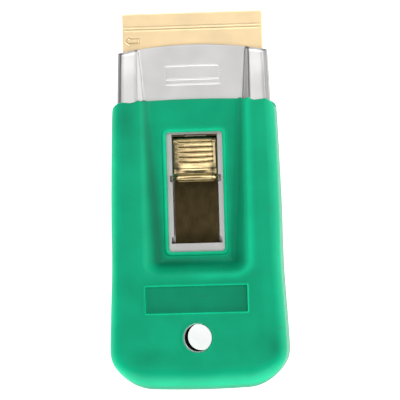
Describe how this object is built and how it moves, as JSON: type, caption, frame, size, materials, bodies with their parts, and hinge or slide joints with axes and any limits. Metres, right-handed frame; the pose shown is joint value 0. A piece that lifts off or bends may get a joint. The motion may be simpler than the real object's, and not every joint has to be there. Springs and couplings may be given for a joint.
{
  "type": "retractable blade scraper",
  "caption": "Pocket glass scraper: a brass blade carrier slides out of a pressed-steel casing in a green grip sleeve, locked by a ribbed brass thumb slide.",
  "frame": {"origin": "middle of the overall length and width, on the back face of the grip sleeve", "axes": "+Y towards the blade, +Z out of the front face, +X to the right seen from the front with the blade up"},
  "size_m": [0.05, 0.1054, 0.0135],
  "materials": {
    "sleeve": "satin",
    "steel": "satin",
    "eyelet": "satin",
    "brass": "satin",
    "slide_brass": "polished",
    "blade_steel": "satin",
    "spring_steel": "satin"
  },
  "bodies": {
    "housing": {"grip_sleeve": "sleeve", "top_shell": "steel", "bottom_plate": "steel", "hang_eyelet": "eyelet"},
    "carrier": {"carrier_base": "brass", "carrier_cover": "brass", "carrier_rivets": "brass", "blade": "blade_steel", "blade_spine": "spring_steel", "lock_spring": "spring_steel", "spring_rivets": "spring_steel"},
    "thumb": {"thumb_slide": "slide_brass", "slide_studs": "slide_brass"}
  },
  "joints": [
    {"name": "carrier_slide", "type": "slide", "parent": "housing", "child": "carrier", "axis": [0, 1, 0], "range_m": [-0.0172, 0], "deforming": ["lock_spring"]},
    {"name": "thumb_press", "type": "slide", "parent": "carrier", "child": "thumb", "axis": [0, 0, 1], "range_m": [-0.0008, 0], "stiffness_N_per_m": 1500, "springref_m": 0.0005, "deforming": ["lock_spring"]}
  ]
}
